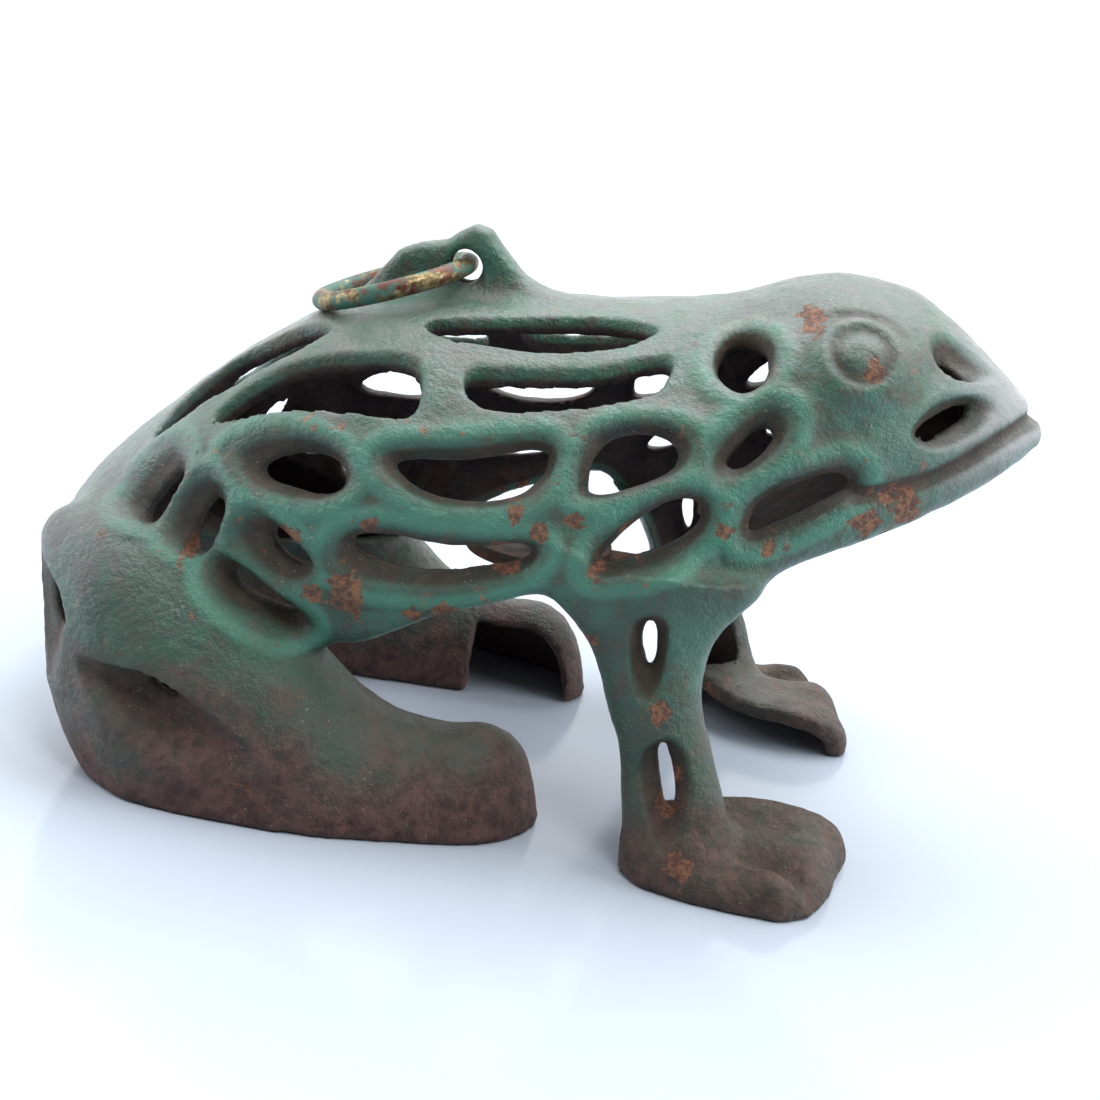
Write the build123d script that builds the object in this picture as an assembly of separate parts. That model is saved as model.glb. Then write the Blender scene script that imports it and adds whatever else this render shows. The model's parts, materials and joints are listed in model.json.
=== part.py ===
from build123d import *
import os

# Cast-iron frog lantern, in millimetres.  +X is the way the frog faces, +Y its left side, +Z up.
# The origin is on the floor, under the middle of the frog.  The casting is an openwork shell, open
# underneath, so that a candle stub on the swivelling tray lights the slots in its sides.

# ---- driving dimensions ------------------------------------------------------------------------
LENGTH = 176.0             # nose to haunches
HEIGHT = 101.5             # floor to the top of the lug
WALL = 3.6                 # thickness of the casting
FOOT_WALL = 3.6

RING_WIRE = 3.5            # diameter of the ring's wire
RING_MEAN = 28.5           # ring diameter at the middle of the wire
RING_TILT = 21.0           # the ring lies back on the spine, this far below level, in degrees

LUG_HOLE_RADIUS = 3.2
LUG_THICKNESS = 7.0

SCREW_RADIUS = 2.0         # M4 pivot screw of the tray
PIVOT_RUNNING_FIT = 0.06   # radial clearance of the tray on its screw
FACE_GAP = 0.05            # clearance above and below the tray at its pivot
SHEET = 1.2                # thickness of the tray's sheet steel
TRAY_RADIUS = 14.0
TRAY_RIM = 2.5             # height of the drip rim
TRAY_TOP = 42.0            # top of the tray's sheet, above the floor
SPIKE_RADIUS = 1.3         # candle spike, riveted through the tray
SPIKE_HEIGHT = 14.0
PIVOT_X = 33.0

# ---- the body: ellipses across X, as (x, half width, top, bottom) --------------------------------
BODY_STATIONS = [
    (-LENGTH / 2, 4.0, 45.0, 35.0),
    (-82.0, 19.0, 52.5, 28.0),
    (-75.0, 28.0, 59.5, 22.0),
    (-60.0, 38.0, 72.0, 14.0),
    (-40.0, 44.0, 83.5, 8.0),
    (-19.0, 46.0, 88.5, 6.0),
    (5.0, 45.5, 90.5, 8.0),
    (28.0, 42.5, 94.5, 12.0),
    (40.0, 39.5, 98.5, 18.0),
    (50.0, 36.0, 100.5, 28.0),
    (60.0, 32.0, 99.0, 41.0),
    (70.0, 26.0, 94.5, 51.0),
    (80.0, 17.0, 87.5, 62.0),
    (LENGTH / 2, 5.0, 81.5, 73.0),
]
# lower edge of the shell, from the tail along the belly rail to the throat and the jaw: (x, z)
BELLY_LINE = [(-60, 27), (-26, 31.5), (-12, 39.5), (0, 45), (7, 47.5), (14, 45.5), (24, 44), (34, 46), (40, 51)]
JAW_LINE = [(49, 57), (59, 61.5), (69, 66), (81, 72.5), (89, 77)]
HEAD_X = 43.0              # where the head's node meets the body's
REAR_X = -22.0             # where the body's rear quarters meet its front quarters

# slots along the sides: two ends on the skin (x, y, z), and the slot's width
SIDE_SLOTS = [
    ((-54, -33, 66), (-23, -36, 77), 6.5),     # upper row
    ((-9, -36, 79), (19, -31, 84), 5.5),
    ((-43, -42, 60), (-33, -43, 62), 8.5),     # middle row
    ((-17, -44, 66), (1, -42, 69), 9.0),
    ((14, -42, 68), (22, -39, 74), 8.5),
    ((36, -37, 77), (39, -35, 80), 7.5),
    ((-64, -35, 49), (-62, -34, 55), 4.0),     # lower row
    ((-53, -41, 47), (-53, -40, 52), 4.0),
    ((-46, -43, 50), (-38, -45, 47), 5.0),
    ((-23, -46, 51), (0, -46, 54), 6.0),
    ((19, -44, 57), (28, -42, 64), 6.5),
    ((-49, -42, 40), (-40, -44, 37), 4.0),
]
CHEEK_SLOT = ((48.5, -37, 69), (53.5, -36, 72), 5.0)
EAR_HOLE = ((33.5, -26, 89), (34.5, -25, 89), 8.5)
MOUTH_SLOT = ((68, -26, 81), (71, -23, 82.5), 4.5)
NOSTRIL = ((68.6, -16, 91.5), (70.0, -15, 91), 4.0)
SPINE_SLOTS = [
    ((-20, -20, 86), (14, -18, 89), 5.0),      # beside the spine, in front of the lug
    ((-66, -23, 61), (-46, -12, 78), 5.0),     # beside the spine, behind the ring
]
EYE = (52.0, 20.5, 89.0)
EYE_RADIUS = 8.0

# ---- legs ----------------------------------------------------------------------------------------
# rear legs: half ellipses standing on the floor, as (x, middle y, half width, height), on planes that
# lean back towards the tail
REAR_LEAN = 0.19
REAR_LEG = [
    (-79.0, 32.0, 5.0, 31.0),
    (-75.0, 34.0, 13.0, 41.0),
    (-64.0, 37.3, 17.3, 46.0),
    (-46.0, 38.8, 17.7, 41.0),
    (-30.0, 38.8, 17.0, 31.0),
    (-18.0, 38.2, 15.3, 21.0),
    (-6.0, 37.0, 13.2, 17.5),
    (3.0, 35.8, 10.5, 17.0),
    (9.5, 34.5, 5.0, 11.0),
]
# the rear foot's hollow is open towards the middle of the frog: low and high corner
FOOT_WINDOW = ((-14.0, 15.0, -1.0), (3.0, 33.0, 11.0))
# front legs: ellipses across Z, as (z, middle x, middle y, half length, half width)
FRONT_LEG = [
    (4.0, 36.0, 44.5, 10.0, 7.5),
    (14.0, 34.0, 44.0, 9.2, 6.5),
    (22.0, 31.6, 43.2, 8.4, 6.0),
    (32.0, 27.6, 42.0, 8.6, 6.0),
    (38.0, 26.0, 41.5, 9.8, 6.0),
    (44.0, 24.5, 41.0, 12.5, 6.5),
    (54.0, 24.0, 40.0, 18.0, 7.0),
]
# slots through the front legs: the lower and upper end (x, z), and the width
FRONT_LEG_SLOTS = [((33.2, 12), (31.4, 24), 4.0), ((26.4, 38), (25.2, 45), 3.2)]
LEG_OUTSIDE = 56.0          # clear of the leg's outer face
FOOT_OUTLINE = [(27.5, 46), (31, 51.5), (38, 54.3), (47, 55.6), (55, 55.6), (60.5, 52), (64, 43), (67.5, 31),
                (66.5, 24), (57, 22.5), (45, 24.5), (34, 33)]
FOOT_CENTRE = (44.0, 40.0)
FOOT_DOME = (32.0, 25.0, 13.0)

# ---- cross web that carries the tray's pivot -------------------------------------------------------
WEB_X = (28.5, 37.5)
WEB_Z = (50.0, 53.5)
WEB_HALF = 45.0
BOSS_RADIUS = 5.5
WASHER = (2.2, 4.5, 0.8)   # hole radius, outer radius, thickness
SCREW_HEAD = (4.0, 2.3)    # radius, height
NUT = (3.5, 3.2)           # half width across flats, height

LEFT, RIGHT = 1, -1


def side(shape, which):
    """The shape is drawn on the left, at y > 0; the right one is its mirror image."""
    return shape if which == LEFT else mirror(shape, about=Plane.XZ)


def ellipse_across_x(x, y, z, half_y, half_z, lean=0.0):
    return Plane(origin=(x, y, z), x_dir=(0, 1, 0), z_dir=(1, 0, lean)) * Ellipse(half_y, half_z)


def egg(inset=0.0):
    """The body and head as one closed egg, drawn in by inset for the hollow."""
    sections = []
    for x, half_width, top, bottom in BODY_STATIONS:
        half_height = (top - bottom) / 2 - inset
        if half_width - inset < 1.0 or half_height < 1.0:
            continue
        sections.append(ellipse_across_x(x, 0, (top + bottom) / 2, half_width - inset, half_height))
    return loft(sections)


def above(line):
    """Everything above a line given in (x, z)."""
    outline = [(-95, line[0][1])] + line + [(95, line[-1][1]), (95, 130), (-95, 130)]
    face = make_face(Plane.XZ * Polyline(*outline, close=True))
    return extrude(face, amount=70, both=True)


def raised(line, amount):
    return [(x, z + amount) for x, z in line]


def slot_cutter(start, end, width, depth=13.0):
    """A round-ended bar that goes through the wall, square to the ellipse it starts on."""
    a, b = Vector(*start), Vector(*end)
    middle = (a + b) * 0.5
    along = (b - a).normalized()
    outward = Vector(0, middle.Y, middle.Z - 52.0).normalized()
    outward = (outward - along * outward.dot(along)).normalized()
    plane = Plane(origin=middle, x_dir=along, z_dir=outward)
    outline = SlotCenterToCenter((b - a).length, width)
    return extrude(plane * outline, amount=depth, both=True)


def both_sides(cutter):
    return [cutter, mirror(cutter, about=Plane.XZ)]


def cut(shape, cutters):
    for cutter in cutters:
        shape = shape - cutter
    return shape


def main_solid(shape):
    """The largest solid of a shape, without the crumbs that a trim leaves."""
    return max(shape.solids(), key=lambda solid: solid.volume)


OUTER_EGG = egg()
INNER_EGG = egg(WALL)


# ---- the casting -----------------------------------------------------------------------------------
def casting_shell():
    return (OUTER_EGG - INNER_EGG) & above(BELLY_LINE + JAW_LINE)


def box_between(low, high):
    size = [b - a for a, b in zip(low, high)]
    middle = [(a + b) / 2 for a, b in zip(low, high)]
    return Pos(*middle) * Box(*size)


def body_quarter(shell, rear, which):
    """One quarter of the body shell, with the slots on its side."""
    x_range = (-100, REAR_X) if rear else (REAR_X, HEAD_X)
    quarter = shell & box_between((x_range[0], 0, 0), (x_range[1], 80, 130))
    for start, end, width in SIDE_SLOTS + SPINE_SLOTS + [EAR_HOLE]:
        left_start, left_end = [(x, -y, z) for x, y, z in (start, end)]
        quarter = quarter - slot_cutter(left_start, left_end, width, 9.0)
    return side(main_solid(quarter), which)


def head_shell(shell):
    head = shell & (Pos(HEAD_X + 100, 0, 60) * Box(200, 160, 160))
    eye = Pos(*EYE) * Sphere(EYE_RADIUS) - INNER_EGG
    for bulge in both_sides(eye):
        head = head + bulge
    chin = (INNER_EGG & above(BELLY_LINE + JAW_LINE)) - above(raised(BELLY_LINE + JAW_LINE, WALL))
    head = head + (chin & box_between((HEAD_X, -80, 0), (100, 80, 130)))
    cutters = []
    for start, end, width in (CHEEK_SLOT, MOUTH_SLOT, NOSTRIL):
        cutters += both_sides(slot_cutter(start, end, width, 8.0))
    return main_solid(cut(head, cutters))


def rear_leg(which):
    outer = loft([ellipse_across_x(x, y, 0, w, h, REAR_LEAN) for x, y, w, h in REAR_LEG])
    hollow = loft([ellipse_across_x(x, y, 0, w - WALL, h - WALL, REAR_LEAN) for x, y, w, h in REAR_LEG[1:-1]])
    leg = (outer - hollow) & (Pos(0, 0, 60) * Box(200, 160, 120))
    leg = leg - (OUTER_EGG & above(BELLY_LINE)) - box_between(*FOOT_WINDOW)
    return side(main_solid(leg), which)


def front_leg(which):
    def column(inset):
        sections = []
        for z, x, y, half_x, half_y in FRONT_LEG:
            plane = Plane(origin=(x, y, z), x_dir=(1, 0, 0), z_dir=(0, 0, 1))
            sections.append(plane * Ellipse(half_x - inset, half_y))
        return loft(sections)

    channel = Pos(0, -FOOT_WALL, 0) * column(FOOT_WALL)
    leg = column(0) - channel
    outline = extrude(make_face(Spline(*FOOT_OUTLINE, periodic=True)), amount=FOOT_DOME[2])
    dome = Pos(*FOOT_CENTRE, 0) * scale(Sphere(1), by=FOOT_DOME)
    inner = tuple(size - FOOT_WALL for size in FOOT_DOME)
    under = Pos(*FOOT_CENTRE, 0) * scale(Sphere(1), by=inner)
    foot = ((outline & dome) - under) - channel
    leg = leg + foot
    leg = leg - above(BELLY_LINE)
    leg = leg & (Pos(0, 0, 60) * Box(200, 160, 120))
    cutters = []
    for (x1, z1), (x2, z2), width in FRONT_LEG_SLOTS:
        middle = ((x1 + x2) / 2, LEG_OUTSIDE, (z1 + z2) / 2)
        plane = Plane(origin=middle, x_dir=(x2 - x1, 0, z2 - z1), z_dir=(0, -1, 0))
        cutters.append(extrude(plane * SlotCenterToCenter(z2 - z1, width), amount=24))
    return side(main_solid(cut(leg, cutters)), which)


# lug profile in (x, z): the fin rises from the spine, and its hole is near the top
LUG_HOLE = (-20.0, 93.5)
LUG_PROFILE = [(-40, 84), (-33, 95), (-26, 97.5), (-22, 99.5), (-18.5, HEIGHT), (-14.5, 99), (-10, 94.5), (-3, 88)]


def ring_lug():
    top = Spline(*LUG_PROFILE)
    base = Polyline(LUG_PROFILE[-1], (-3, 80), (-40, 76), LUG_PROFILE[0])
    fin = extrude(make_face(Plane.XZ * (Curve() + [top, base])), amount=LUG_THICKNESS / 2, both=True)
    hole = Pos(LUG_HOLE[0], 0, LUG_HOLE[1]) * Rot(90, 0, 0) * Cylinder(LUG_HOLE_RADIUS, 20)
    return main_solid(fin - hole - OUTER_EGG)


def tray_web():
    low, high = WEB_Z
    bar = Pos(sum(WEB_X) / 2, 0, (low + high) / 2) * Box(WEB_X[1] - WEB_X[0], 2 * WEB_HALF, high - low)
    foot = TRAY_TOP + FACE_GAP + WASHER[2]
    boss = Pos(PIVOT_X, 0, (foot + high) / 2) * Cylinder(BOSS_RADIUS, high - foot)
    hole = Pos(PIVOT_X, 0, high) * Cylinder(SCREW_RADIUS, 40)
    return main_solid((bar & INNER_EGG) + boss - hole)


# ---- what is fitted to the casting -------------------------------------------------------------------
def hanging_ring():
    ring = Torus(RING_MEAN / 2, RING_WIRE / 2)
    ring = Pos(-RING_MEAN / 2, 0, 0) * ring
    return Pos(LUG_HOLE[0], 0, LUG_HOLE[1]) * Rot(0, -RING_TILT, 0) * ring


def candle_tray():
    bottom = TRAY_TOP - SHEET
    disc = Pos(0, 0, bottom + SHEET / 2) * Cylinder(TRAY_RADIUS, SHEET)
    rim = Pos(0, 0, bottom + TRAY_RIM / 2) * (Cylinder(TRAY_RADIUS, TRAY_RIM) - Cylinder(TRAY_RADIUS - SHEET, 9))
    arm = Pos(PIVOT_X / 2 + 5.5, 0, bottom + SHEET / 2) * Box(PIVOT_X - 11, 9, SHEET)
    eye = Pos(PIVOT_X, 0, bottom + SHEET / 2) * Cylinder(4.5, SHEET)
    pivot_hole = Pos(PIVOT_X, 0, bottom) * Cylinder(SCREW_RADIUS + PIVOT_RUNNING_FIT, 9)
    spike_hole = Pos(0, 0, bottom) * Cylinder(SPIKE_RADIUS, 9)
    return disc + rim + arm + eye - pivot_hole - spike_hole


def candle_spike():
    bottom = TRAY_TOP - SHEET
    shank = Pos(0, 0, bottom + 3) * Cylinder(SPIKE_RADIUS, 6)
    collar = Pos(0, 0, TRAY_TOP + 0.6) * Cylinder(2.4, 1.2)
    head = Pos(0, 0, bottom - 0.4) * Cylinder(2.2, 0.8)
    point = Pos(0, 0, bottom + 6 + SPIKE_HEIGHT / 2) * Cone(SPIKE_RADIUS, 0.25, SPIKE_HEIGHT)
    return shank + collar + head + point


def pivot_screw():
    head_radius, head_height = SCREW_HEAD
    head_top = TRAY_TOP - SHEET - FACE_GAP
    end = WEB_Z[1] + NUT[1] + 1.5
    shank = Pos(PIVOT_X, 0, (head_top + end) / 2) * Cylinder(SCREW_RADIUS, end - head_top)
    head = Pos(PIVOT_X, 0, head_top - head_height / 2) * Cylinder(head_radius, head_height)
    slot = Pos(PIVOT_X, 0, head_top - head_height + 0.4) * Box(2 * head_radius + 1, 1.0, 0.9)
    return shank + head - slot


def pivot_washer():
    hole, outer, thickness = WASHER
    ring = Cylinder(outer, thickness) - Cylinder(hole, 3 * thickness)
    return Pos(PIVOT_X, 0, TRAY_TOP + FACE_GAP + thickness / 2) * ring


def pivot_nut():
    half_flats, height = NUT
    hexagon = extrude(RegularPolygon(half_flats, 6, major_radius=False), amount=height)
    return Pos(PIVOT_X, 0, WEB_Z[1]) * (hexagon - Cylinder(SCREW_RADIUS, 20))


shell = casting_shell()
nodes = {
    "body_front_left": body_quarter(shell, False, LEFT),
    "body_front_right": body_quarter(shell, False, RIGHT),
    "body_rear_left": body_quarter(shell, True, LEFT),
    "body_rear_right": body_quarter(shell, True, RIGHT),
    "head_shell": head_shell(shell),
    "ring_lug": ring_lug(),
    "tray_web": tray_web(),
    "rear_leg_left": rear_leg(LEFT),
    "rear_leg_right": rear_leg(RIGHT),
    "front_leg_left": front_leg(LEFT),
    "front_leg_right": front_leg(RIGHT),
    "hanging_ring": hanging_ring(),
    "candle_tray": candle_tray(),
    "candle_spike": candle_spike(),
    "pivot_screw": pivot_screw(),
    "pivot_washer": pivot_washer(),
    "pivot_nut": pivot_nut(),
}

os.makedirs("parts", exist_ok=True)
for name, solid in nodes.items():
    solid.label = name
    export_step(solid, f"parts/{name}.step")
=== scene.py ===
"""Cast-iron frog lantern: the looks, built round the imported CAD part.

The casting is modelled as a distance field in millimetres (x the way the frog faces, y outwards from the
middle plane, z up), meshed once and mirrored, and scaled to metres.  Everything else is a CAD node with its
own material.
"""

import json
import math

import bpy
import numpy as np
from mathutils import Matrix, Vector


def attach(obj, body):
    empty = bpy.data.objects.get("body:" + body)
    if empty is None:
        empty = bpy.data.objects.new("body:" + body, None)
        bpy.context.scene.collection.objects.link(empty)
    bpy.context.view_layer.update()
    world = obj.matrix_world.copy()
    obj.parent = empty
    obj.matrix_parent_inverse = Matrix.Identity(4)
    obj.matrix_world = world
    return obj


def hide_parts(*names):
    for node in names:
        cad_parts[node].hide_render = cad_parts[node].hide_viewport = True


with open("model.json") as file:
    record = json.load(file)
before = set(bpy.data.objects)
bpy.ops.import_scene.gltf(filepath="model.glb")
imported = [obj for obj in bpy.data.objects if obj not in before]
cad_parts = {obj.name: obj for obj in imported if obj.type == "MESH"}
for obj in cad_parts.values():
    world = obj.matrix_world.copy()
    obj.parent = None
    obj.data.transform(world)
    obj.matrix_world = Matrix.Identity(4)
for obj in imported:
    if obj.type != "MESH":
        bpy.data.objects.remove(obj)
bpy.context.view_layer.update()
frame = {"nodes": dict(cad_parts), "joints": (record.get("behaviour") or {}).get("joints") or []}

MM = 0.001
GRID = 0.7      # spacing of the field, in mm
MIRROR_PAD = 2                         # grid rows kept on the far side of the middle plane
FAR = 20.0                             # stands for "nowhere near" in a field of distances

WALL = 3.6                             # thickness of the casting
FOOT_SHEET = 3.4                       # thickness of the front feet
CHIN_FROM = 38.5                       # the jaw is closed underneath in front of this
LUG_HALF_THICKNESS = 3.3
LEG_WALL = 2.8                         # the front legs are channels, open towards the middle plane,
LEG_CHANNEL_SHIFT = 3.6                # drawn in by this much
LEG_CHANNEL_TOP = 46.0
REAR_WINDOW = (-14, 6)                 # the hollow of a rear foot opens inwards between these
REAR_WINDOW_SHIFT = 8

# fillets where the parts of the casting run together
BELLY_ROUND = 3.0
LUG_FILLET = 5.0
LEG_FILLET = 6.0
FOOT_FILLET = 4.0
WALL_EDGE_ROUND = 1.2
HOLE_EDGE_ROUND = 0.9

swing = next(j for j in frame["joints"] if j["name"] == "ring_swing")
LUG_HOLE = (swing["pos_m"][0] / MM, swing["pos_m"][2] / MM)
LUG_HOLE_RADIUS = 3.2

# ---- the casting's sections and outlines, in mm -----------------------------------------------------
# the body: (x, half width, top, bottom)
BODY = [
    (-87, 16, 42, 37), (-84, 28, 47.5, 31), (-79, 33.5, 53.5, 25), (-73, 36, 59.5, 21),
    (-60, 39.5, 71.5, 14), (-40, 44, 84, 8), (-19, 46, 88.5, 6), (5, 45.5, 90.5, 8), (28, 42.5, 94.5, 12),
    (40, 39.5, 99.5, 18), (50, 36, 102, 28), (60, 32, 101, 42), (70, 26, 96, 51), (80, 17, 88.5, 62),
    (85, 10.5, 84.5, 69), (88.2, 5, 81, 74),
]
# lower edge of the body and jaw: (x, z)
BELLY_EDGE = [
    (-95, 24), (-60, 27), (-26, 31.5), (-12, 39.5), (0, 45), (7, 47.5), (14, 45.5), (24, 44), (34, 46),
    (40, 51), (49, 57), (59, 61.5), (69, 66), (81, 72.5), (90, 78),
]
# rear legs, on planes that lean back by REAR_LEAN: (x on the floor, middle y, half width, height)
REAR_LEAN = 0.19
REAR_LEG = [
    (-80.5, 32, 5, 33), (-79, 33, 11, 40), (-73, 35, 15, 45), (-63, 37.5, 17.5, 46.5),
    (-46, 38.8, 17.7, 41), (-35, 38.8, 17.4, 35), (-27, 38.7, 16.8, 27.5), (-20, 38.2, 15.7, 20.8),
    (-13, 37.6, 14.4, 17.8), (-6, 36.8, 13.2, 17), (1, 35.8, 11.4, 17.8), (5.5, 34.6, 9, 16.6),
    (8.6, 33.8, 5.5, 13), (9.8, 33.5, 2.5, 8),
]
TAIL_UNDERCUT = 8.0                    # how far the haunch is drawn in at the floor, behind
# front legs: (z, middle x, middle y, half length, half width)
FRONT_LEG = [
    (-4, 36.5, 44.5, 9.5, 8), (4, 36, 44.5, 9.5, 7.5), (14, 34, 44, 9.2, 6.5), (22, 31.6, 43.2, 8.4, 6),
    (32, 27.6, 42, 8.6, 6), (38, 26, 41.5, 9.8, 6), (44, 24.5, 41, 12.5, 6.5), (52, 24, 40, 18, 7),
]
# the front foot's rim on the floor, carried on inwards past its open side: (x, y)
FOOT_RIM = [
    (27.5, 40), (28, 47), (31.5, 51.5), (38, 54.3), (47, 55.6), (55, 55.6), (60.5, 52), (62.3, 47),
    (63.5, 43), (65, 34), (66.5, 28), (66, 23), (62, 10), (50, 0), (27, 0),
]
FOOT_TOP = 6.0
ANKLE = (36, 43, 9, 8, 6.0)            # mounds on the foot: (x, y, reach along x, reach along y, height)
OUTER_TOE = (53, 53, 6, 3.5, 2.2)
INNER_TOE = (60, 42, 6, 7, 1.2)
INSTEP_HEIGHT = 2.4
TOE_GAP = [(47, 46), (55, 49), (63, 53)]
TOE_GAP_WIDTH, TOE_GAP_DEPTH = 2.2, 2.0
FOOT_OPEN_SIDE = [(20, 42), (30, 36.5), (36, 31), (43, 24.5), (50, 22.5), (58, 22), (66, 23), (75, 25)]
LUG_OUTLINE = [
    (-44, 80), (-40, 84.5), (-36.5, 90), (-33, 94.6), (-29, 96.6), (-24, 97.6), (-21.8, 99.6),
    (-19.2, 101.2), (-16.4, 100.6), (-14, 97.8), (-10, 93.8), (-5, 90), (2, 86), (2, 78), (-44, 74),
]

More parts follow.
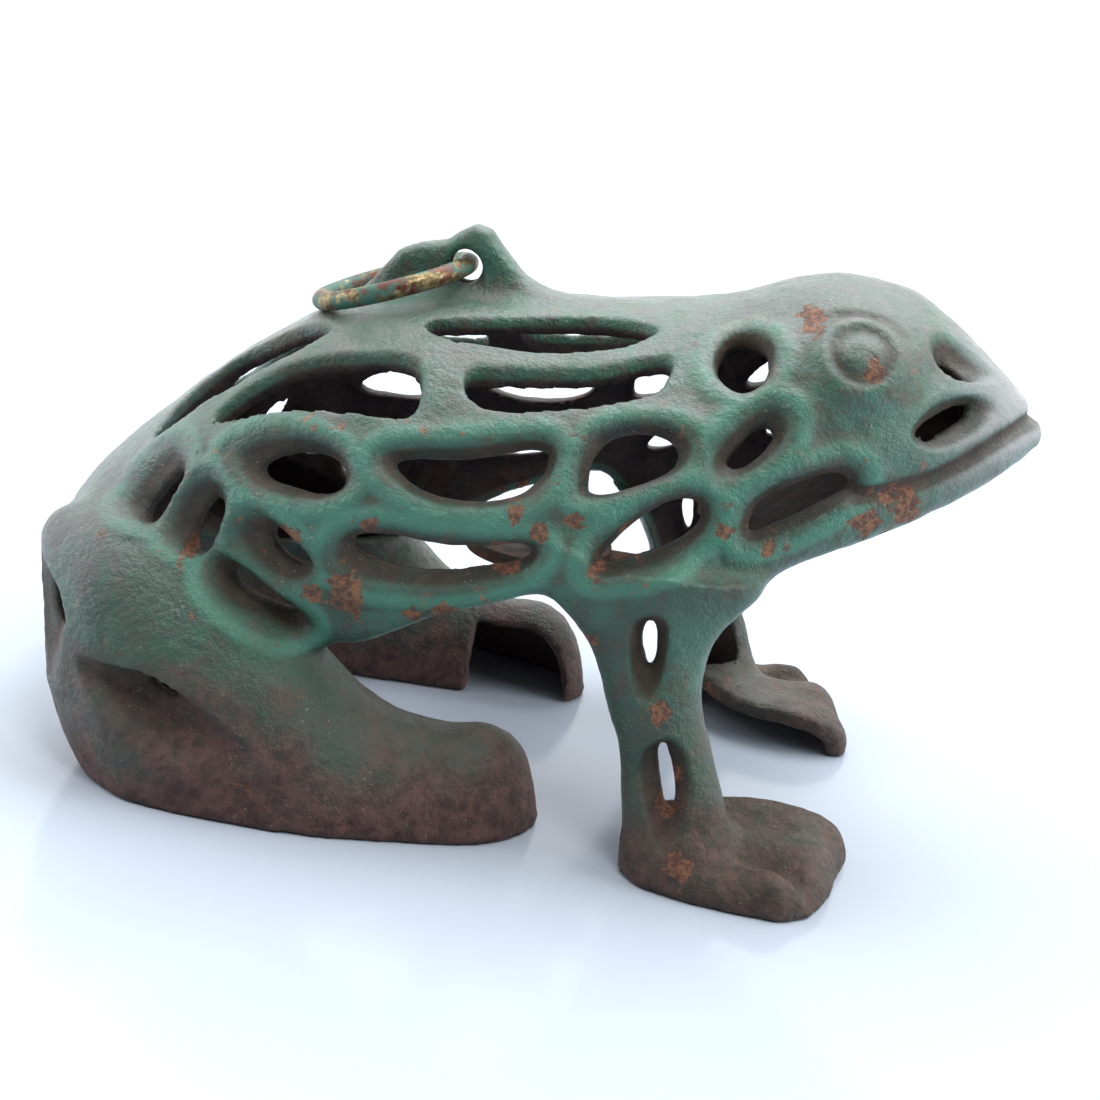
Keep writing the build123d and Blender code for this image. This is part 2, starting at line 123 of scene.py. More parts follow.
# Openings in one side: (tilt of the cut in degrees from level, distance of the skin along the cut,
# depth of the recess, sharpness of its edge, outline of the recess, outline of the hole).  Outlines are
# (x, w), w being measured square to the cut, upwards; at a tilt of 90 it is minus y.
OPENINGS = {
    "beside_spine": (
        90, 84, 0.0, 1.0, None,
        [(-23.5, -18.5), (-18, -16.6), (-11, -15.2), (-2, -13), (7, -11.8), (14, -13.6), (17.5, -16.8),
         (13.5, -21.4), (8, -23.4), (0, -24.4), (-9, -24.2), (-18, -23.4)]),
    "beside_tail": (
        90, 68, 0.0, 1.0, None,
        [(-69, -24.5), (-66.5, -14), (-59, -7.5), (-48.5, -10.8), (-42.5, -14.5), (-40.5, -18),
         (-44.5, -22), (-53, -23.5), (-62, -24.3), (-67, -27)]),
    "upper_rear": (
        90, 73, 0.0, 1.0, None,
        [(-57, -29.8), (-52, -27.2), (-47, -26.3), (-42, -26.1), (-34, -26.7), (-26, -27.5), (-22, -29),
         (-20, -33), (-20.2, -37), (-22.8, -37.8), (-31, -36.7), (-40, -35.5), (-47, -34.4), (-53, -32.6)]),
    "upper_front": (
        90, 79, 0.0, 1.0, None,
        [(-13, -31), (-11.5, -29.8), (-7.5, -29.5), (2.5, -28.6), (9.5, -27.7), (16, -25.3),
         (19.7, -24.5), (21.5, -25.4), (21.3, -29), (19.5, -31.4), (12.5, -33.8), (4, -35), (-4.5, -36.1),
         (-9, -35.6), (-12, -33.8)]),
    "middle_rear": (
        15, 56, 2.6, 0.2,
        [(-52.9, 48.8), (-50.3, 52.1), (-44, 54.4), (-37.4, 54.6), (-32, 53.2), (-28.8, 49.5),
         (-29.7, 46), (-34.4, 43.5), (-41.5, 43), (-48, 44.4)],
        [(-45.4, 47.6), (-43.3, 49.6), (-38.4, 51.4), (-33.7, 51.5), (-30.7, 49.8), (-30.2, 47),
         (-32.4, 45.2), (-35.3, 44.8), (-40.5, 45.3), (-43.7, 45.8)]),
    "middle_centre": (
        15, 57.5, 2.4, 0.2,
        [(-25.2, 53.4), (-22, 55.3), (-12, 57.3), (-1.5, 60.2), (4.6, 60.4), (6, 57), (3, 50.4),
         (-5.7, 46.9), (-14.4, 46.3), (-21.1, 48.5), (-24.8, 50.7)],
        [(-21.9, 52.2), (-18.1, 53.6), (-11.6, 54.4), (-6.2, 55.9), (0, 58), (3.1, 58.2), (4.2, 56.8),
         (3, 53.4), (0, 50.3), (-6, 48.2), (-12, 47.7), (-17.2, 48.5), (-20.7, 50.4)]),
    "middle_front": (
        20, 61.5, 2.2, 0.2,
        [(9, 48.2), (9.2, 54.7), (12.6, 58.8), (18.7, 61), (25, 61.2), (28.8, 58.8), (27.6, 54.4),
         (21.6, 50.3), (14.8, 46.8), (10.3, 46)],
        [(11.2, 48.5), (11.4, 53), (13.8, 57.2), (17.8, 58.8), (22.2, 59), (25.3, 57), (24.5, 53.4),
         (19.3, 50), (14.6, 47.8), (12.1, 47.6)]),
    "shoulder": (
        25, 65.5, 2.4, 0.2,
        [(31.2, 48), (30.5, 52.4), (33, 56.5), (36, 60.5), (39.7, 62.8), (43.2, 61), (43.9, 57.4),
         (41.5, 52.4), (36.4, 48.3), (32.9, 46.9)],
        [(33.7, 51.4), (35.1, 54.3), (37.2, 57.2), (39.4, 58.4), (40.7, 57.2), (39.8, 54.5), (37.3, 51.5),
         (34.8, 50.4)]),
    "ear": (
        52, 88, 1.6, 0.1,
        [(39.2, 34), (38.2, 29), (34.5, 26.6), (30.4, 29), (28.2, 34), (29.6, 40), (33.2, 42.2),
         (37.2, 39.4)],
        [(38.2, 34.3), (37.2, 30), (34.3, 28.2), (31, 30), (29.4, 34.2), (30.4, 38.6), (33.5, 40.2),
         (36.8, 38.4)]),
    "cheek": (
        0, 37, 2.0, 0.2,
        [(37, 63), (38.2, 67.8), (42.5, 71.8), (48.6, 74.5), (53, 76.2), (56.4, 75), (56.8, 71.2),
         (52.2, 66.8), (45.7, 62.5), (39.6, 60.6)],
        [(39.2, 62.8), (39.8, 66.7), (42.8, 69.5), (47, 71.5), (50.8, 73.2), (53.4, 73.1), (54.4, 71.5),
         (52.3, 69.3), (47.7, 66.2), (43.5, 63.9), (40.6, 62.3)]),
    "lower_centre": (
        0, 45.5, 2.2, 0.2,
        [(-31.2, 49), (-28.8, 52.8), (-22.5, 55), (-13.5, 54.8), (-3.3, 55.8), (5, 56.8), (5.8, 53.7),
         (1.7, 49.8), (-5.7, 46.6), (-14.7, 44.6), (-26, 43.9), (-30.5, 46)],
        [(-27.3, 50.8), (-25.2, 52.4), (-19.8, 53.2), (-13.4, 52.8), (-4.7, 53.6), (1.6, 55), (3.5, 54),
         (1.5, 52), (-5.3, 49.6), (-12.8, 47.6), (-20, 47.3), (-24.7, 48.6)]),
    "lower_front": (
        0, 43, 2.2, 0.2,
        [(13.4, 54.6), (14.5, 58.2), (20.1, 63.8), (26.2, 67.8), (31.2, 68.4), (33.6, 64.8), (31.4, 60.2),
         (26, 55.7), (18.7, 53), (14.6, 52.4)],
        [(15.3, 54.4), (16.8, 57.1), (19.7, 60.8), (24.3, 64.9), (28.4, 66.4), (30.7, 65.2), (30.3, 62),
         (26.6, 58.5), (21.3, 55.9), (17.3, 54.2)]),
    "haunch_slit_rear": (
        25, 53.5, 2.4, 0.3,
        [(-71.3, 27.4), (-70.9, 30), (-69.8, 34.8), (-66.5, 39.9), (-63, 41.8), (-61, 39.4), (-60, 35.7),
         (-61.5, 30), (-63.5, 26), (-67.3, 25.8)],
        [(-66, 26.8), (-65.8, 29.4), (-62.8, 34.2), (-61, 35.8), (-60.5, 34), (-62.4, 30.2), (-64, 26.8),
         (-65.2, 25.8)]),
    "haunch_slit_front": (
        20, 54, 2.6, 0.3,
        [(-61.4, 29), (-61.3, 34.6), (-59, 39), (-55.2, 40.9), (-52.2, 39), (-50.8, 35.6), (-52, 29.5),
         (-54, 26.3), (-58.7, 27)],
        [(-56.2, 27.7), (-56.2, 31), (-55.1, 34.5), (-53.4, 36.8), (-51.6, 35.5), (-51.9, 32.2),
         (-52.6, 29.6), (-53.7, 27.1), (-55.4, 27)]),
    "thigh_upper": (
        5, 47.5, 3.0, 0.5,
        [(-49.8, 44.4), (-48.4, 48), (-45, 49.3), (-41, 48.2), (-37, 45.5), (-33.5, 42.2), (-34.3, 38),
         (-38.1, 36.5), (-43.5, 38.2), (-48.4, 41.4)],
        [(-41.8, 46.3), (-40.4, 46.2), (-37.8, 44.6), (-34.4, 42.4), (-34.6, 41), (-37, 41),
         (-39.9, 42.3), (-41.5, 44.3)]),
    "thigh_lower": (
        5, 46.8, 2.8, 0.5,
        [(-52.7, 38.1), (-50.8, 40.1), (-46, 38.9), (-39.9, 35.5), (-34, 32.3), (-32.7, 29.9),
         (-36.7, 28), (-43.5, 29.9), (-49.5, 33), (-52.1, 35.8)],
        [(-48.2, 38), (-46.8, 38), (-43.3, 36), (-36.4, 32.4), (-37, 31.6), (-41.1, 32.3), (-45.4, 33.4),
         (-47.7, 35.3)]),
    "nostril": (
        50, 80, 2.6, 0.4,
        [(64.8, 49.5), (66.8, 53.6), (71.4, 54), (76.5, 53.5), (79, 51.5), (75.6, 46.8), (70.3, 43.6),
         (66.1, 45)],
        [(66.3, 46.6), (67.4, 48.4), (70, 47.8), (71.8, 46.4), (70.6, 44.8), (68.3, 44.6)]),
    "mouth": (
        0, 23, 2.8, 0.4,
        [(63.8, 80.8), (64.4, 83.8), (67.1, 86.8), (72, 87.6), (77.8, 86.8), (79.6, 84.6), (77.9, 82),
         (73.2, 79.5), (68, 78.7)],
        [(64.7, 80.6), (65.9, 82.6), (69.5, 84.5), (72.6, 84.9), (73, 83), (70.3, 80.9), (66.9, 79.5)]),
    "leg_upper": (
        0, 47, 3.0, 0.9,
        [(22.2, 43), (23.1, 46.6), (26.3, 48), (28.9, 45.9), (29.3, 38.6), (28.2, 32.2), (25.9, 32),
         (23.6, 35.6)],
        [(24.4, 43.6), (25.3, 45.9), (26.6, 44.4), (27.1, 40.8), (26.7, 37.4), (25.5, 38.6), (24.7, 41)]),
    "leg_lower": (
        0, 49, 3.0, 0.9,
        [(27, 20), (28.1, 24.4), (31.2, 26.8), (34.8, 24.5), (36.9, 18.5), (37, 13.3), (35, 7.6), (32, 8),
         (28.4, 15)],
        [(30, 22.8), (30.8, 25), (32, 23.2), (33.2, 20.4), (34.2, 16.6), (34, 13.2), (32.5, 14.4),
         (31, 18.6)]),
    "haunch_hollow_rear": (
        0, 42, 3.2, 0.6,
        [(-88, 40), (-84, 39.5), (-79, 34), (-75.8, 24), (-77.5, 15.5), (-82, 17), (-87, 27)],
        [(-79.4, 33.6), (-78, 33.4), (-75.8, 29), (-76.4, 27.6), (-78.3, 29.6)]),
    "haunch_hollow_side": (
        0, 51, 5.5, 1.0,
        [(-72.5, 24), (-66, 24.6), (-58, 23.6), (-47, 19.4), (-38.5, 14.6), (-38, 11), (-43, 8.4),
         (-51, 8.6), (-61, 12.2), (-69, 18.6)],
        [(-59.4, 21.9), (-57.6, 22.4), (-54.2, 20.6), (-54.4, 19.4), (-56.8, 20)]),
}
RIMLESS = (
    "haunch_hollow_rear", "haunch_hollow_side", "nostril", "mouth", "leg_upper", "leg_lower", "beside_spine",
    "beside_tail", "upper_front", "upper_rear")
HOLE_REACH = 14.0                      # how far in from the skin a hole is cut
RECESS_FADE = (8.0, 15.0)              # a recess dies away between these distances in from the skin
OUTLINE_MARGIN = 7                     # how far round an opening its distances are worked out
SINK_INSIDE = 0.8                      # the share of a recess that the inner wall follows
RIDGE_HEIGHT = 0.6                     # raised rims round the recesses
RIDGE_OFFSET = 2.0
RIDGE_WIDTH = 1.8

EYE = (53.0, 26.0, 92.0)               # middle of the eye on the skin
EYE_HEIGHT = 2.8
EYE_RADIUS = 9.2
EYE_RINGS = ((7.4, 0.5, 1.2), (5.2, -0.7, 1.0), (3.4, 0.4, 0.9), (0.0, -0.8, 1.8))  # (radius, height, width)
EYE_GROOVES = ((5.2, 1.0), (0.0, 1.9))                                              # (radius, width)
BROW_RADIUS, BROW_WIDTH, BROW_DEPTH = 10.2, 1.7, 1.2
LIP_WIDTH, LIP_DEPTH = 1.5, 1.5
FOLD_WIDTH, FOLD_DEPTH = 3.5, 0.8
LIP_LINE = [(56, 70.4), (62, 71.4), (68.3, 73.6), (74, 76.3), (79.5, 79.6), (84, 81.6), (88, 82)]
CHEEK_FOLD = [(66, 90.5), (63.2, 86.7), (57, 82.2), (50, 79.5)]


# ---- fields ------------------------------------------------------------------------------------------
def curve(x, points):
    """A smooth curve through (x, value) points that never overshoots them."""
    px = np.array([p[0] for p in points], dtype=np.float32)
    py = np.array([p[1] for p in points], dtype=np.float32)
    step = np.diff(px)
    slope = np.diff(py) / step
    tangent = np.zeros_like(py)
    same = slope[:-1] * slope[1:] > 0
    total = np.where(same, slope[:-1] + slope[1:], 1)
    tangent[1:-1] = np.where(same, 2 * slope[:-1] * slope[1:] / total, 0)
    tangent[0], tangent[-1] = slope[0], slope[-1]
    at = np.clip(np.searchsorted(px, x, side="right") - 1, 0, len(step) - 1)
    t = np.clip((x - px[at]) / step[at], 0, 1)
    a, b = py[at], py[at + 1]
    ta, tb = tangent[at] * step[at], tangent[at + 1] * step[at]
    return a + t * (ta + t * (3 * (b - a) - 2 * ta - tb + t * (2 * (a - b) + ta + tb)))


def column(table, n):
    return [(row[0], row[n]) for row in table]


def smin(a, b, k):
    """Union with a fillet of about k."""
    mix = np.maximum(k - np.abs(a - b), 0) / k
    return np.minimum(a, b) - mix * mix * k * 0.25


def smax(a, b, k):
    """Intersection with a rounded edge of about k."""
    return -smin(-a, -b, k)


def as_distance(field):
    """Divide a field by its slope, so that it reads in millimetres near its surface."""
    gx, gy, gz = np.gradient(field, GRID)
    return field / np.sqrt(gx * gx + gy * gy + gz * gz + 1e-9)


def fade(value, low, high):
    """1 below low, 0 above high, smooth between."""
    t = np.clip((high - value) / (high - low), 0, 1)
    return t * t * (3 - 2 * t)


def ended(field, x, first, last):
    """Close a field off where x runs past its first or last section."""
    past = np.maximum(first - x, x - last)
    return np.where(past > 0, np.maximum(field, past), field)


def bell(distance, width):
    """1 at no distance, falling off smoothly over the width."""
    return np.exp(-(distance / width) ** 2)


def mound(x, y, place):
    """A rounded hill: (middle x, middle y, reach along x, reach along y, height)."""
    cx, cy, a, b, height = place
    return height * np.exp(-(((x - cx) / a) ** 2 + ((y - cy) / b) ** 2))


def sections_field(x, across, up, half, tall, power):
    """Superellipse sections along x, as a distance."""
    reach = (np.abs(across) / half) ** power + (np.abs(up) / tall) ** power
    return as_distance((reach ** (1 / power) - 1) * np.minimum(half, tall))


def body_field(x, y, z):
    half, top, bottom = (curve(x, column(BODY, n)) for n in (1, 2, 3))
    middle, tall = (top + bottom) / 2, (top - bottom) / 2
    field = sections_field(x, y, z - middle, half, tall, 2.25)
    return ended(field, x, BODY[0][0], BODY[-1][0])


def rear_leg_field(x, y, z):
    behind = np.clip((-40 - x) / 40, 0, 1)
    u = x + REAR_LEAN * np.clip(z, 0, 50) - TAIL_UNDERCUT * behind * np.exp(-np.maximum(z, 0) / 10)
    middle, half, tall = (curve(u, column(REAR_LEG, n)) for n in (1, 2, 3))
    field = sections_field(u, y - middle, np.maximum(z, 0), half, tall, 2.15)
    return ended(field, u, REAR_LEG[0][0], REAR_LEG[-1][0])


def front_leg_field(x, y, z):
    cx, cy, a, b = (curve(z, column(FRONT_LEG, n)) for n in (1, 2, 3, 4))
    reach = np.sqrt(((x - cx) / a) ** 2 + ((y - cy) / b) ** 2)
    return np.maximum(as_distance((reach - 1) * np.minimum(a, b)), z - FRONT_LEG[-1][0] - 2)


def segment_distance_squared(x, y, start, end):
    (ax, ay), (bx, by) = start, end
    ex, ey = bx - ax, by - ay
    t = np.clip(((x - ax) * ex + (y - ay) * ey) / (ex * ex + ey * ey), 0, 1)
    return (x - ax - t * ex) ** 2 + (y - ay - t * ey) ** 2


def polygon_distance(x, y, points):
    """Signed distance to a closed outline in a plane, negative inside."""
    nearest = np.full(np.broadcast(x, y).shape, 1e9, dtype=np.float32)
    inside = np.zeros(nearest.shape, dtype=bool)
    for (ax, ay), (bx, by) in zip(points, points[1:] + points[:1]):
        nearest = np.minimum(nearest, segment_distance_squared(x, y, (ax, ay), (bx, by)))
        ex, ey = bx - ax, by - ay
        crosses = (ay > y) != (by > y)
        rise = ey if ey else 1.0
        inside ^= crosses & (x < ex * (y - ay) / rise + ax)
    return np.where(inside, -1, 1) * np.sqrt(nearest)


def line_distance(x, y, points):
    """Distance to an open line in a plane."""
    nearest = np.full(np.broadcast(x, y).shape, 1e9, dtype=np.float32)
    for start, end in zip(points, points[1:]):
        nearest = np.minimum(nearest, segment_distance_squared(x, y, start, end))
    return np.sqrt(nearest)


def rounded(points, pieces=5):
    """A closed smooth curve through the points, as a finer outline."""
    p = np.array(points, dtype=float)
    before, after, beyond = np.roll(p, 1, axis=0), np.roll(p, -1, axis=0), np.roll(p, -2, axis=0)
    fine = []
    for t in np.arange(pieces) / pieces:
        fine.append(0.5 * (2 * p + (after - before) * t + (2 * before - 5 * p + 4 * after - beyond) * t ** 2
                           + (3 * p - before - 3 * after + beyond) * t ** 3))
    return [tuple(q) for q in np.stack(fine, axis=1).reshape(-1, 2)]


def spread(values, across, position, spacing):
    """Values on a plane grid (x, w), read at (x, every w in position)."""
    at = np.clip((position - across[0]) / spacing, 0, len(across) - 1.001)
    low = at.astype(np.int64)
    part = (at - low).astype(np.float32)
    return values[:, low] * (1 - part) + values[:, low + 1] * part


def foot_field(x, y, z):
    """The front foot, a thin arched sheet: its outer skin, and the hollow under it."""
    rim = polygon_distance(x, y, FOOT_RIM)
    inner = curve(x, FOOT_OPEN_SIDE) - y
    instep = np.clip((50 - y) / 20, 0, 1) * fade(x, 52, 70)
    toe_gap = bell(line_distance(x, y, TOE_GAP), TOE_GAP_WIDTH)
    top = FOOT_TOP + INSTEP_HEIGHT * instep + mound(x, y, ANKLE) - TOE_GAP_DEPTH * toe_gap
    top = top + mound(x, y, OUTER_TOE) + mound(x, y, INNER_TOE)
    skin = smax(smax(rim, z - top, 6.0), inner, 2.0)
    under = smax(rim + FOOT_SHEET, z - top + FOOT_SHEET, 5.0)
    return skin, under


def casting_fields():
    """The casting's half at y > 0: its solid, and the fields that its paint is mixed from."""
    xs = np.arange(-92, 92.01, GRID, dtype=np.float32)
    ys = np.arange(-MIRROR_PAD * GRID, 60, GRID, dtype=np.float32)
    zs = np.arange(-2 * GRID, 106, GRID, dtype=np.float32)
    x, y, z = xs[:, None, None], ys[None, :, None], zs[None, None, :]
    shape = (len(xs), len(ys), len(zs))

    body = body_field(x, y, z)
    rear = rear_leg_field(x, y, z)
    leg = front_leg_field(x, y, z)
    foot, under = foot_field(x, y, z)
    edge = curve(x, BELLY_EDGE) - z
    lug = smax(polygon_distance(x, z, LUG_OUTLINE), np.abs(y) - LUG_HALF_THICKNESS, 2.5)

    outer = smax(body, edge, BELLY_ROUND)
    outer = smin(outer, lug, LUG_FILLET)
    outer = smin(outer, rear, LEG_FILLET)
    outer = smin(outer, leg, LEG_FILLET)
    outer = smin(outer, foot, FOOT_FILLET)

    # raised and sunk detail of the head
    from_eye = np.sqrt((x - EYE[0]) ** 2 + (y - EYE[1]) ** 2 + (z - EYE[2]) ** 2)
    eye = EYE_HEIGHT * np.exp(-(from_eye / EYE_RADIUS) ** 3)
    groove = sum(bell(from_eye - radius, width) for radius, width in EYE_GROOVES)
    for radius, height, width in EYE_RINGS:
        eye += height * bell(from_eye - radius, width)
    brow = bell(from_eye - BROW_RADIUS, BROW_WIDTH) * fade(-(z - EYE[2]), -6.5, -2.0)
    lip = bell(line_distance(x, z, LIP_LINE), LIP_WIDTH) * (y < 40)
    fold = bell(line_distance(x, z, CHEEK_FOLD), FOLD_WIDTH) * (y > 8)
    outer = outer - eye + BROW_DEPTH * brow + LIP_DEPTH * lip + FOLD_DEPTH * fold
    outer = outer.astype(np.float32)

    from_recess = np.full(shape, FAR, dtype=np.float32)
    # painted shade in the eye's grooves, the brow hollow and the lip line, passed on through the recess
    # attribute
    groove_shade = np.maximum(np.maximum(0.5 * groove, 0.8 * brow), lip)
    recess = np.broadcast_to(groove_shade, shape).astype(np.float32)
    holes = np.full(shape, FAR, dtype=np.float32)
    sink = np.zeros(shape, dtype=np.float32)
    for name, (tilt, skin, depth, sharp, mouth, hole) in OPENINGS.items():
        cos, sin = math.cos(math.radians(tilt)), math.sin(math.radians(tilt))
        outline = rounded(mouth or hole)
        (low_x, high_x), (low_w, high_w) = ((min(side) - OUTLINE_MARGIN, max(side) + OUTLINE_MARGIN)
                                            for side in zip(*outline))
        part = slice(*np.searchsorted(xs, [low_x, high_x]))
        spacing = GRID / 2
        ws = np.arange(low_w, high_w, spacing, dtype=np.float32)
        to_mouth = polygon_distance(xs[part, None], ws[None, :], outline)
        to_hole = polygon_distance(xs[part, None], ws[None, :], rounded(hole))
        w = (z * cos - y * sin)[0]
        along = (y * cos + z * sin)
        near = fade(skin - along, *RECESS_FADE)
        mouth_3d = spread(to_mouth, ws, w, spacing)
        hole_3d = spread(to_hole, ws, w, spacing)
        if name not in RIMLESS:
            from_recess[part] = np.minimum(from_recess[part], mouth_3d + FAR * (1 - near))
        holes[part] = np.minimum(holes[part], np.maximum(hole_3d, (skin - HOLE_REACH) - along))
        if mouth:
            t = np.clip(hole_3d / np.maximum(hole_3d - mouth_3d, 0.05), 0, 1)
            t = t * (mouth_3d < 0) + (mouth_3d >= 0)
            soft = (1 - t) ** 2 * (1 + 2 * t)
            profile = (soft * (1 - sharp) + (1 - t * t) * sharp) * near
            sink[part] = np.maximum(sink[part], depth * profile)
            recess[part] = np.maximum(recess[part], profile)
    ridge = np.exp(-((np.maximum(from_recess, 0) - RIDGE_OFFSET) / RIDGE_WIDTH) ** 2) * (x > -84)
    outer += sink - RIDGE_HEIGHT * ridge

    floor_of_chin = np.where(x > CHIN_FROM, edge + WALL, edge - 1.0)
    cavity = smin(smax(body + WALL, floor_of_chin, 1.0), rear + WALL, 3.0)
    beside_window = np.maximum(REAR_WINDOW[0] - x, x - REAR_WINDOW[1])
    foot_window = np.maximum(rear_leg_field(x, y + REAR_WINDOW_SHIFT, z) + WALL, beside_window)
    cavity = smin(cavity, foot_window, 1.0) + SINK_INSIDE * sink
    channel = np.maximum(front_leg_field(x, y + LEG_CHANNEL_SHIFT, z) + LEG_WALL, z - LEG_CHANNEL_TOP)
    cavity = np.minimum(cavity, channel)
    cavity = smin(cavity, under, 2.0)
    solid = smax(outer, -cavity, WALL_EDGE_ROUND)
    solid = smax(solid, -holes, HOLE_EDGE_ROUND)
    lug_hole = np.hypot(x - LUG_HOLE[0], z - LUG_HOLE[1]) - LUG_HOLE_RADIUS
    solid = smax(solid, -lug_hole, 1.0)
    solid = np.maximum(solid, -z)
    paint = {"depth": -outer, "recess": recess, "ridge": ridge.astype(np.float32)}
    return solid.astype(np.float32), paint, (xs, ys, zs)


# ---- from fields to a mesh ----------------------------------------------------------------------------
def mirrored(field):
    """The whole width from the half that starts MIRROR_PAD rows past the middle plane."""
    return np.concatenate([field[:, :MIRROR_PAD:-1], field[:, MIRROR_PAD:]], axis=1)


def surface_nets(field, axes):
    """Quads round the zero surface of a field sampled on a grid."""
    inside = field < 0
    corner = np.array([(i, j, k) for i in (0, 1) for j in (0, 1) for k in (0, 1)])
    nx, ny, nz = (n - 1 for n in inside.shape)
    count = sum(inside[i:nx + i, j:ny + j, k:nz + k].astype(np.int8) for i, j, k in corner)
    active = (count > 0) & (count < 8)
    cell = np.argwhere(active)
    value = np.stack([field[cell[:, 0] + i, cell[:, 1] + j, cell[:, 2] + k] for i, j, k in corner], axis=1)
    total = np.zeros((len(cell), 3))
    number = np.zeros(len(cell))
    for a in range(8):
        for b in range(a + 1, 8):
            if np.abs(corner[a] - corner[b]).sum() != 1:
                continue
            cross = (value[:, a] < 0) != (value[:, b] < 0)
            t = value[:, a] / np.where(cross, value[:, a] - value[:, b], 1)
            total += np.where(cross[:, None], corner[a] + (corner[b] - corner[a]) * t[:, None], 0)
            number += cross
    origin = np.array([axis[0] for axis in axes])
    points = (cell + total / number[:, None]) * GRID + origin
    index = np.full(active.shape, -1, dtype=np.int64)
    index[active] = np.arange(len(cell))
    quads = []
    for d in range(3):
        u, v = (d + 1) % 3, (d + 2) % 3
        first = [slice(None)] * 3
        second = [slice(None)] * 3
        first[d], second[d] = slice(0, -1), slice(1, None)
        a, b = inside[tuple(first)], inside[tuple(second)]
        at = np.argwhere(a != b)
        keep = (at[:, u] > 0) & (at[:, v] > 0) & (at[:, u] < index.shape[u]) & (at[:, v] < index.shape[v])
        at = at[keep]
        ring = []
        for du, dv in ((0, 0), (1, 0), (1, 1), (0, 1)):
            shifted = at.copy()
            shifted[:, u] -= du
            shifted[:, v] -= dv
            ring.append(index[tuple(shifted.T)])
        quad = np.stack(ring, axis=1)
        flip = b[tuple(at.T)]
        quad[flip] = quad[flip][:, ::-1]
        quads.append(quad)
    return points, np.concatenate(quads)


def largest_piece(points, quads):
    """Only the faces joined to the biggest connected surface."""
    label = np.arange(len(points))
    while True:
        low = label[quads].min(axis=1)
        new = label.copy()
        for n in range(4):
            np.minimum.at(new, quads[:, n], low)
        new = new[new]
        if (new == label).all():
            break
        label = new
    names, counts = np.unique(label[quads[:, 0]], return_counts=True)
    quads = quads[label[quads[:, 0]] == names[counts.argmax()]]
    used, quads = np.unique(quads, return_inverse=True)
    return points[used], quads.reshape(-1, 4)


def trilinear(part, corner):
    """Mix the values at a cell's eight corners by how far along it each point lies."""
    value = np.zeros(len(part))
    for i in (0, 1):
        for j in (0, 1):
            for k in (0, 1):
                share = np.abs(1 - i - part[:, 0]) * np.abs(1 - j - part[:, 1]) * np.abs(1 - k - part[:, 2])
                value += share * corner(i, j, k)
    return value


def read_at(field, axes, points):
    """Trilinear values of a half field at points on either side."""
    place = np.stack([points[:, 0], np.abs(points[:, 1]), points[:, 2]], axis=1)
    at = (place - np.array([axis[0] for axis in axes])) / GRID
    at = np.clip(at, 0, np.array(field.shape) - 1.001)
    low = at.astype(np.int64)
    return trilinear(at - low, lambda i, j, k: field[low[:, 0] + i, low[:, 1] + j, low[:, 2] + k])


LATTICE = 32                           # the noise repeats after this many lumps each way
LATTICE_OFFSET = 500                   # keeps the noise's cells above 0


def noise_at(points, size, seed):
    """Smooth value noise from -1 to 1, with lumps of the given size."""
    lattice = np.random.default_rng(seed).uniform(-1, 1, (LATTICE, LATTICE, LATTICE))
    at = points / size + LATTICE_OFFSET
    low = np.floor(at).astype(np.int64)
    part = at - low
    part = part * part * (3 - 2 * part)

    def corner(*step):
        return lattice[tuple((low[:, axis] + step[axis]) % LATTICE for axis in range(3))]

    return trilinear(part, corner)


def vertex_normals(points, quads):
    a, b, c, d = (points[quads[:, n]] for n in range(4))
    face = np.cross(c - a, d - b)
    normal = np.zeros_like(points)
    for n in range(4):
        for axis in range(3):
            normal[:, axis] += np.bincount(quads[:, n], weights=face[:, axis], minlength=len(points))
    return normal / (np.linalg.norm(normal, axis=1)[:, None] + 1e-12)


def new_mesh(name, points, faces):
    mesh = bpy.data.meshes.new(name)
    mesh.vertices.add(len(points))
    mesh.vertices.foreach_set("co", np.asarray(points, dtype=np.float32).ravel())
    sides = faces.shape[1]
    mesh.loops.add(faces.size)
    mesh.loops.foreach_set("vertex_index", faces.astype(np.int32).ravel())
    mesh.polygons.add(len(faces))
    mesh.polygons.foreach_set("loop_start", np.arange(0, faces.size, sides, dtype=np.int32))
    mesh.update(calc_edges=True)
    mesh.validate()
    mesh.polygons.foreach_set("use_smooth", np.ones(len(mesh.polygons), dtype=bool))
    return mesh


# bare and rusty spots on one side, where paint has chipped: (x, z, radius)
CHIPS = [
    (-1, 52.5, 3.2), (-11, 50.5, 2.2), (-20, 50, 2.0), (-27, 41.5, 4.2), (-15, 40.8, 2.2),
    (-9.5, 41.6, 2.6), (10.5, 61, 2.0), (15, 53, 1.8), (20, 58.6, 3.4), (24, 61.8, 2.6), (12.6, 40, 1.8),
    (15.6, 41, 1.8), (35.4, 62.6, 1.6), (43, 60.4, 1.8), (58.5, 65.6, 3.6), (64, 68.4, 4.2),
    (55.6, 91, 2.6), (44, 96.6, 2.4), (-38, 50.5, 2.0), (-56, 44, 1.8), (-24, 55, 2.0), (32.6, 20, 2.4),
    (33, 15, 2.4), (37, 6, 2.6), (29, 31, 2.6), (0, 61, 1.8), (5, 58.4, 2.0), (-33, 41, 2.2),
]


# unevenness of the cast skin: (height, size, seed)
LUMPS = ((0.16, 7.0, 3), (0.10, 2.6, 5), (0.05, 1.1, 8))
WALL_GRAIN = (0.16, 1.4, 11)           # and more of it on the inside
SKIN_DEPTH = (1.0, 3.0)                # the outer skin turns into the inside between these


